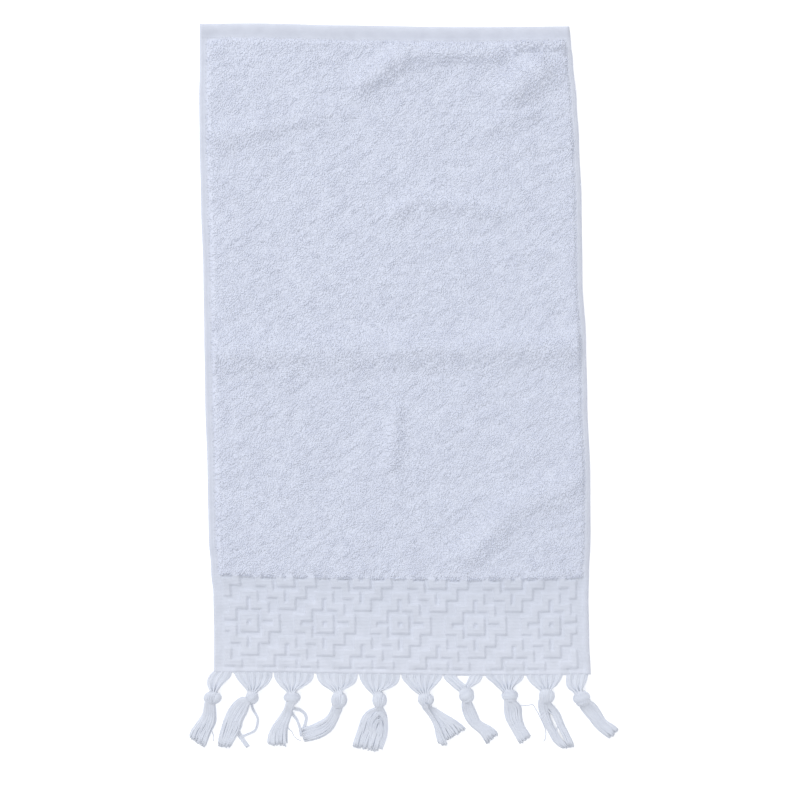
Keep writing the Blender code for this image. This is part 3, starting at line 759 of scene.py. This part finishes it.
# --- The tassels ---
def in_millimetres(tassel, columns, values):
    """Rows of this many values from a table in tenths of a millimetre from a tassel's knot."""
    knot = (tassel.x, tassel.y, 0.0) if columns == 3 else (tassel.x, tassel.y) * 2
    return (np.reshape(values, (-1, columns)) + np.rint(np.array(knot) * 10)) / 10


def smooth_path(points, shares):
    """Points of a smooth line through the given ones, at these shares of it."""
    place = shares * (len(points) - 1)
    start = np.minimum(place.astype(int), len(points) - 2)
    part = (place - start)[..., None]
    before, here, after, beyond = (
        points[np.clip(start + step, 0, len(points) - 1)] for step in (-1, 0, 1, 2)
    )
    leave, arrive, rest = (after - before) / 2, (beyond - here) / 2, after - here
    bend = 3 * rest - 2 * leave - arrive
    tighten = leave + arrive - 2 * rest
    return here + part * (leave + part * (bend + part * tighten))


def widths(rows):
    return np.hypot(rows[..., 2] - rows[..., 0], rows[..., 3] - rows[..., 1])


def between_edges(rows, side):
    """Points between an outline's left edge, where side is -1, and its right edge, where it is 1."""
    inset = 1 - 2 * YARN_RADIUS / np.maximum(widths(rows), 2.5 * YARN_RADIUS)
    share = ((1 + side * inset) / 2)[..., None]
    return rows[..., :2] * (1 - share) + rows[..., 2:] * share


def opened(sides, gap, way):
    """Moves places from -1 to 1 off a gap, which closes where way is 0."""
    if gap is None:
        return sides
    middle, half = gap
    left = -1 + (sides + 1) * (middle - half + 1) / (middle + 1)
    right = 1 - (1 - sides) * (1 - middle - half) / (1 - middle)
    return sides + way * (np.where(sides < middle, left, right) - sides)


def uneven_radius(count, spread, chance):
    return YARN_RADIUS * chance.uniform(*spread, (count, 1))


def fan_paths(number, tassel, chance):
    """Yarns from the cloth's edge to the knot."""
    inside = NECK_SHARE * tassel.width / 2
    knot = (tassel.x - inside, tassel.y, tassel.x + inside, tassel.y)
    outline = np.vstack([in_millimetres(tassel, 4, tassel.fan), knot])
    count = round(widths(outline).max() / FAN_SPACING)
    side = np.linspace(-1 + 1 / count, 1 - 1 / count, count)
    side = side + chance.uniform(-FAN_JITTER, FAN_JITTER, count) / count
    way = np.linspace(0.0, 1.0, FAN_STATIONS)
    edges = smooth_path(outline, way)
    parted = np.clip((GAP_END - way) / GAP_CLOSING, 0.0, 1.0)
    place = opened(side[:, None], FAN_GAPS.get(number), parted)
    spread = widths(edges)
    crowding = (1 / spread - 1 / spread.max()) / (1 / spread.min() - 1 / spread.max())
    layer = np.array(FAN_LAYERS)[np.arange(count) % len(FAN_LAYERS)] / max(FAN_LAYERS) - 0.5
    wander = FAN_WANDER * chance.normal(size=(count, FAN_STATIONS, 2)) * np.sin(np.pi * way)[:, None]
    x, y = np.moveaxis(between_edges(edges[None], place) + wander, -1, 0)
    middle = ROOT_HEIGHT + eased(way) * (KNOT_DEPTH / 2 - ROOT_HEIGHT)
    z = middle + layer[:, None] * (ROOT_SPREAD + NECK_HEIGHT * crowding)
    return as_paths(x, y, np.maximum(z, YARN_RADIUS), uneven_radius(count, YARN_UNEVEN, chance))


def skirt_paths(outline, layers, gap, chance):
    """Yarns from the knot to the tips, which come down to rest on the surface."""
    widest = round(widths(outline).max() / SKIRT_SPACING)
    per_layer = [max(3, widest - number) for number in layers]
    side = np.concatenate([np.linspace(1 - count, count - 1, count) / widest for count in per_layer])
    layer = np.repeat(layers, per_layer)[:, None]
    count = side.size
    side = np.clip(side + SKIRT_JITTER * chance.uniform(-1, 1, count) / widest, -1, 1)
    way = np.linspace(0.0, 1.0, SKIRT_STATIONS)[None, :]
    tip = 1 - TIP_RAGGEDNESS * chance.uniform(size=(count, 1))
    start, end = SKIRT_PARTING
    parted = np.sin(np.pi * np.clip((way - start) / (end - start), 0, 1)) ** 0.7
    turns = WAVES * way + chance.uniform(size=(count, 1))
    wander = WAVE_HEIGHT * np.sin(2 * np.pi * turns) * eased(way)
    edges = smooth_path(outline, way * tip)
    x, y = np.moveaxis(between_edges(edges, opened(side[:, None] + wander, gap, parted)), -1, 0)
    hanging = KNOT_DEPTH / 2 + (layer / max(SKIRT_LAYERS) - 0.5) * NECK_HEIGHT
    resting = YARN_RADIUS * (1 + LAYER_STEP * layer)
    z = hanging + eased(np.minimum(way / SKIRT_REST, 1.0)) * (resting - hanging)
    z = z + HEIGHT_WANDER * chance.normal(size=(count, 1)) * np.sin(np.pi * way)
    paths = as_paths(x, y, np.maximum(z, YARN_RADIUS), uneven_radius(count, YARN_UNEVEN, chance))
    paths[:, -len(TIP_SWELL):, 3] *= TIP_SWELL
    return paths


def stray_paths(stray, tassel):
    """Single yarns side by side along a line of points."""
    points = in_millimetres(tassel, 3, stray.points)
    x, y, z = smooth_path(points, np.linspace(0.0, 1.0, 5 * len(points))).T
    ahead_x, ahead_y = unit(np.gradient(np.stack([x, y], axis=1), axis=0)).T
    aside = (np.arange(stray.yarns)[:, None] - (stray.yarns - 1) / 2) * STRAY_SPACING * stray.radius
    z = np.maximum(z, 0.0) + stray.radius
    return as_paths(x - ahead_y * aside, y + ahead_x * aside, z, stray.radius)


def knot_parts(tassel, chance):
    """The knot: yarns that swell through it, and a wrap of yarns drawn round them."""
    angle, offset, width = tassel.wrap
    half = np.array((tassel.width, tassel.length, KNOT_DEPTH)) / 2 - YARN_RADIUS
    middle = np.array((tassel.x, tassel.y, KNOT_DEPTH / 2))
    angle = math.radians(angle)
    along_wrap = np.array((math.cos(angle), math.sin(angle), 0.0))
    across_wrap = np.array((-math.sin(angle), math.cos(angle), 0.0))

    turn = 2 * np.pi * (np.arange(BODY_YARNS) + 0.5) / BODY_YARNS
    way = np.linspace(-1.0, 1.0, BODY_STATIONS)
    swell = np.maximum(np.sqrt(1 - way**2), NECK_SHARE * (1 - abs(way) / 4))
    x, z = np.cos(turn)[:, None] * swell, np.sin(turn)[:, None] * swell
    body = as_paths(x, way, z, YARN_RADIUS * BODY_RADIUS)
    from_wrap = abs(body[..., :3] @ across_wrap - offset) / width
    pinched = BODY_SIZE - PINCH * hump(from_wrap - 1, PINCH_WIDTH) - UNDER_WRAP * (from_wrap < 1)
    body[..., (0, 2)] *= pinched[..., None]
    body[..., :3] = body[..., :3] * half + middle

    turn = np.linspace(0.0, 2 * np.pi, WRAP_STATIONS) - np.pi / 2
    first = math.asin(max(offset - width, -WRAP_LIMIT))
    last = math.asin(min(offset + width, WRAP_LIMIT))
    count = round((last - first) * np.linalg.norm(across_wrap * half) / WRAP_SPACING) + 1
    place = np.linspace(-1.0, 1.0, count)
    tilt = np.linspace(first, last, count)
    size = np.cos(tilt) * (WRAP_EDGE + (1 - WRAP_EDGE) * np.sqrt(1 - place**2))
    round_it = np.cos(turn)[:, None] * along_wrap + np.sin(turn)[:, None] * UP
    loops = np.sin(tilt)[:, None, None] * across_wrap + size[:, None, None] * round_it
    x, y, z = np.moveaxis(loops * half + middle, -1, 0)
    wraps = as_paths(x, y, z, uneven_radius(count, WRAP_UNEVEN, chance))
    reference = np.broadcast_to(across_wrap, (count, 3))
    return [tubes(body, YARN_SIDES), tubes(wraps, YARN_SIDES, reference), core_part(half, middle)]


def core_part(half, middle):
    """A ball inside a knot, so that nothing shows through between its yarns."""
    way = np.linspace(-0.97, 0.97, CORE_STATIONS)
    path = as_paths(0.0, way, 0.0, np.sqrt(1 - way**2))[None]
    points, triangles, places, lengths = tubes(path, CORE_SIDES)
    return points * (half * CORE_SIZE) + middle, triangles, places, lengths * half[1]


def make_tassel(number, tassel, material):
    chance = np.random.default_rng(100 + number)
    skirt = in_millimetres(tassel, 4, tassel.skirt)
    parts = [
        tubes(fan_paths(number, tassel, chance), YARN_SIDES),
        tubes(skirt_paths(skirt, SKIRT_LAYERS, SKIRT_GAPS.get(number), chance), YARN_SIDES),
        *knot_parts(tassel, chance),
        *(tubes(stray_paths(stray, tassel), YARN_SIDES) for stray in STRAYS if stray.tassel == number),
    ]
    if number in OVERLAYS:
        overlay = in_millimetres(tassel, 4, OVERLAYS[number])
        parts.append(tubes(skirt_paths(overlay, OVERLAY_LAYERS, None, chance), YARN_SIDES))
    points, triangles, maps = joined(parts, 1)
    piece = new_piece(f"tassel_yarns_{number:02d}", points, triangles, material, maps)
    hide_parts(f"tassel_{number:02d}")
    return piece


# --- The sewing ---
def seam(across, along, way):
    """Short stitches that run this way at points of the cloth, and dive into it at both ends."""
    share = np.linspace(-0.5, 0.5, STITCH_STATIONS)
    across = across[:, None] + way[0] * STITCH_LENGTH * share
    along = along[:, None] + way[1] * STITCH_LENGTH * share
    arch = STITCH_ARCH - STITCH_DIVE * (2 * abs(share)) ** 3
    z = face_height(across, along) + arch
    return tubes(as_paths(*on_cloth(across, along), z, STITCH_RADIUS), STITCH_SIDES)


def make_stitches(material):
    across = np.arange(*HEM_SEAM_ENDS, STITCH_PITCH)
    along = np.arange(*SIDE_SEAM_ENDS, STITCH_PITCH)
    parts = [seam(across, np.full_like(across, HEM_SEAM), (1.0, 0.0))]
    parts += [seam(np.full_like(along, place), along, (0.0, 1.0)) for place in SIDE_SEAMS]
    points, triangles, maps = joined(parts, STITCH_COLUMNS)
    return new_piece("sewing_stitches", points, triangles, material, maps)


# --- Materials ---
class Nodes:
    """A material's node tree, with the few nodes that the cottons share."""

    def __init__(self, name, finish):
        self.material = bpy.data.materials.new(name)
        self.material.use_nodes = True
        self.tree = self.material.node_tree
        self.shader = self.tree.nodes["Principled BSDF"].inputs
        for socket, value in finish.items():
            self.shader[socket].default_value = value

    def add(self, kind, values=None, **settings):
        node = self.tree.nodes.new("ShaderNode" + kind)
        for key, value in settings.items():
            setattr(node, key, value)
        for key, value in (values or {}).items():
            node.inputs[key].default_value = value
        return node

    def link(self, source, target):
        self.tree.links.new(source, target)

    def texture(self, kind, size, values, **settings):
        """A texture with lumps of about this size, in millimetres."""
        node = self.add(kind, {"Scale": 1.0 / (size * MM), **values}, **settings)
        self.link(self.add("TexCoord").outputs["Object"], node.inputs["Vector"])
        return node.outputs

    def noise(self, size, detail=2.0):
        return self.texture("TexNoise", size, {"Detail": detail})["Fac"]

    def nubs(self, size):
        """Rounded nubs of yarn about this far apart."""
        nubs = self.texture("TexVoronoi", size, {"Smoothness": 0.4}, feature="SMOOTH_F1")
        return self.inverse(nubs["Distance"])

    def inverse(self, value):
        return self.math("SUBTRACT", 1.0, value)

    def ranged(self, value, low, high):
        """A noise's value, brought from its usual 0.3 to 0.7 to this range."""
        values = {"From Min": 0.3, "From Max": 0.7, "To Min": low, "To Max": high}
        node = self.add("MapRange", values)
        self.link(value, node.inputs["Value"])
        return node.outputs["Result"]

    def math(self, operation, first, second=None):
        node = self.add("Math", operation=operation)
        for socket, value in zip(node.inputs, (first, second)):
            if isinstance(value, (int, float)):
                socket.default_value = value
            elif value is not None:
                self.link(value, socket)
        return node.outputs[0]

    def times(self, first, second):
        return self.math("MULTIPLY", first, second)

    def ripple(self, place, pitch):
        """Waves along a place in metres, from -1 to 1, this far apart in millimetres."""
        return self.math("SINE", self.times(place, 2 * math.pi / (pitch * MM)))

    def places(self, uv_map):
        """The two places that a map gives."""
        node = self.add("SeparateXYZ")
        self.link(self.add("UVMap", uv_map=uv_map).outputs["UV"], node.inputs[0])
        return node.outputs["X"], node.outputs["Y"]

    def mixed(self, value, first, second):
        """A colour from the first to the second, as value goes from 0 to 1."""
        node = self.add("Mix", data_type="RGBA")
        for socket, colour in ((node.inputs["A"], first), (node.inputs["B"], second)):
            if isinstance(colour, tuple):
                socket.default_value = (*colour, 1.0)
            else:
                self.link(colour, socket)
        self.link(value, node.inputs["Factor"])
        return node.outputs["Result"]

    def cotton(self, colours):
        return self.mixed(self.ranged(self.noise(9.0, detail=4.0), 0.0, 1.0), *colours)

    def bump(self, height, depth, normal=None):
        """Adds relief of this depth in millimetres."""
        node = self.add("Bump", {"Strength": 1.0, "Distance": depth * MM})
        self.link(height, node.inputs["Height"])
        if normal is not None:
            self.link(normal, node.inputs["Normal"])
        self.link(node.outputs["Normal"], self.shader["Normal"])
        return node.outputs["Normal"]


def new_cotton(name, sheen):
    """Cotton's matt, faintly downy finish."""
    finish = {"Metallic": 0.0, "Specular IOR Level": 0.25, "Sheen Weight": sheen, "Sheen Roughness": 0.5}
    nodes = Nodes(name, finish)
    nodes.link(nodes.ranged(nodes.noise(2.0), *ROUGHNESS), nodes.shader["Roughness"])
    return nodes


def woven_cotton():
    """Ribs of weft on the border, nubs under the pile, and a plain weave elsewhere."""
    nodes = new_cotton("woven cotton", sheen=0.15)
    across, along = nodes.places("weave")
    in_border = nodes.math("LESS_THAN", along, BORDER_TOP * MM)
    in_hem = nodes.math("GREATER_THAN", along, HEM_START * MM)
    from_middle = nodes.math("ABSOLUTE", nodes.math("SUBTRACT", across, CLOTH_WIDTH / 2 * MM))
    bare = nodes.math("GREATER_THAN", from_middle, (CLOTH_WIDTH / 2 - PLAIN_WIDTH) * MM)
    flat_weave = nodes.math("MAXIMUM", bare, nodes.math("MAXIMUM", in_border, in_hem))
    # Under the pile the ground weave takes painted shade; the hem and the bare strips keep the plain
    # weave's tone.
    past_border = nodes.mixed(flat_weave, nodes.cotton(SHADED_GROUND_COTTON), nodes.cotton(EDGE_COTTON))
    # Painted shade: the border's cotton darkens toward the terry and is palest beside the tassels.
    out_of_terry_shade = nodes.inverse(nodes.math("DIVIDE", along, BORDER_TOP * MM))
    border = nodes.mixed(out_of_terry_shade, nodes.cotton(SHADED_BORDER_COTTON), nodes.cotton(BORDER_COTTON))
    nodes.link(nodes.mixed(in_border, past_border, border), nodes.shader["Base Color"])

    weft = nodes.times(nodes.ripple(along, pitch=ROW_SIZE / 4), in_border)
    plain = nodes.times(nodes.ripple(across, pitch=0.9), nodes.ripple(along, pitch=0.9))
    nubs = nodes.times(nodes.nubs(1.7), nodes.inverse(flat_weave))
    normal = nodes.bump(weft, depth=0.08)
    normal = nodes.bump(nodes.times(plain, flat_weave), depth=0.04, normal=normal)
    normal = nodes.bump(nubs, depth=0.35, normal=normal)
    nodes.bump(nodes.noise(0.5, detail=3.0), depth=0.10, normal=normal)
    return nodes.material


def pile_cotton():
    """Soft yarn with loose fibres."""
    nodes = new_cotton("terry cotton", sheen=0.5)
    nodes.link(nodes.cotton(TERRY_COTTON), nodes.shader["Base Color"])
    nodes.bump(nodes.noise(0.35), depth=0.05)
    return nodes.material


def yarn_cotton():
    """Two-ply yarn, with its twist."""
    nodes = new_cotton("fringe cotton", sheen=0.2)
    nodes.link(nodes.cotton(FRINGE_COTTON), nodes.shader["Base Color"])
    along, around = nodes.places("yarn")
    turned = nodes.math("ADD", nodes.math("DIVIDE", along, YARN_TWIST * MM), around)
    twist = nodes.math("SINE", nodes.times(turned, 4 * math.pi))
    normal = nodes.bump(twist, depth=0.06)
    nodes.bump(nodes.noise(0.4, detail=3.0), depth=0.08, normal=normal)
    return nodes.material


# --- The stage ---
LENS = 85.0  # in millimetres, on a sensor 36 mm wide
SENSOR = 36.0
VIEW_LENGTH = 1.0983  # of the towel's length
VIEW_SHIFT = (-0.0066, -0.0092)  # the photograph's middle, from the towel's, in metres
FLOOR_SIZE = 30.0
FLOOR_DROP = 0.0002  # clear of the cloth's underside
FLOOR_COLOUR = (0.97, 0.97, 0.97)
FLOOR_GLOW = 0.30  # the white table is lit a little from below
Lamp = namedtuple("Lamp", "name x y z size power")  # in metres and watts
LAMPS = (Lamp("key light", -1.9, 2.35, 2.6, 1.73, 62.0), Lamp("fill light", 0.5, -0.7, 2.4, 2.4, 11.2))
DAYLIGHT = (0.98, 0.995, 1.035)
WORLD_STRENGTH = 0.62


def new_object(name, data):
    added = bpy.data.objects.new(name, data)
    bpy.context.scene.collection.objects.link(added)
    return added


def hang(lamp, target):
    """A round lamp that points at the target."""
    light = bpy.data.lights.new(lamp.name, "AREA")
    light.shape = "DISK"
    light.size = lamp.size
    light.energy = lamp.power
    light.color = DAYLIGHT
    hung = new_object(lamp.name, light)
    hung.location = (lamp.x, lamp.y, lamp.z)
    x, y, z = np.array(target) - np.array(hung.location)
    hung.rotation_euler = (math.atan2(math.hypot(x, y), -z), 0.0, math.atan2(-x, y))


def make_stage(low, high):
    middle = (low + high) / 2
    scene = bpy.context.scene
    scene.view_settings.view_transform = "Standard"

    camera_data = bpy.data.cameras.new("camera")
    camera_data.lens = LENS
    camera_data.sensor_width = SENSOR
    camera = new_object("camera", camera_data)
    view = VIEW_LENGTH * (high.y - low.y)
    camera.location = (middle.x + VIEW_SHIFT[0], middle.y + VIEW_SHIFT[1], view * LENS / SENSOR)
    scene.camera = camera

    world = bpy.data.worlds.new("studio")
    world.use_nodes = True
    background = world.node_tree.nodes["Background"].inputs
    background["Color"].default_value = (*DAYLIGHT, 1.0)
    background["Strength"].default_value = WORLD_STRENGTH
    scene.world = world

    paint = {
        "Roughness": 0.9,
        "Specular IOR Level": 0.0,
        "Base Color": (*FLOOR_COLOUR, 1.0),
        "Emission Color": (1.0, 1.0, 1.0, 1.0),
        "Emission Strength": FLOOR_GLOW,
    }
    mesh = bpy.data.meshes.new("floor")
    reach = FLOOR_SIZE / 2
    corners = [(-reach, -reach, 0.0), (reach, -reach, 0.0), (reach, reach, 0.0), (-reach, reach, 0.0)]
    mesh.from_pydata(corners, [], [(0, 1, 2, 3)])
    mesh.materials.append(Nodes("white paint", paint).material)
    floor = new_object("floor", mesh)
    floor.location.z = -FLOOR_DROP

    for lamp in LAMPS:
        hang(lamp, middle)


def main():
    cad_low, cad_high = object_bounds()
    make_stage(cad_low, cad_high)

    woven = woven_cotton()
    yarn = yarn_cotton()
    cloth = make_cloth(woven)
    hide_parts("cloth")
    pile = make_pile(pile_cotton())
    tassels = [make_tassel(number, tassel, yarn) for number, tassel in enumerate(TASSELS, start=1)]
    stitches = make_stitches(yarn)


main()
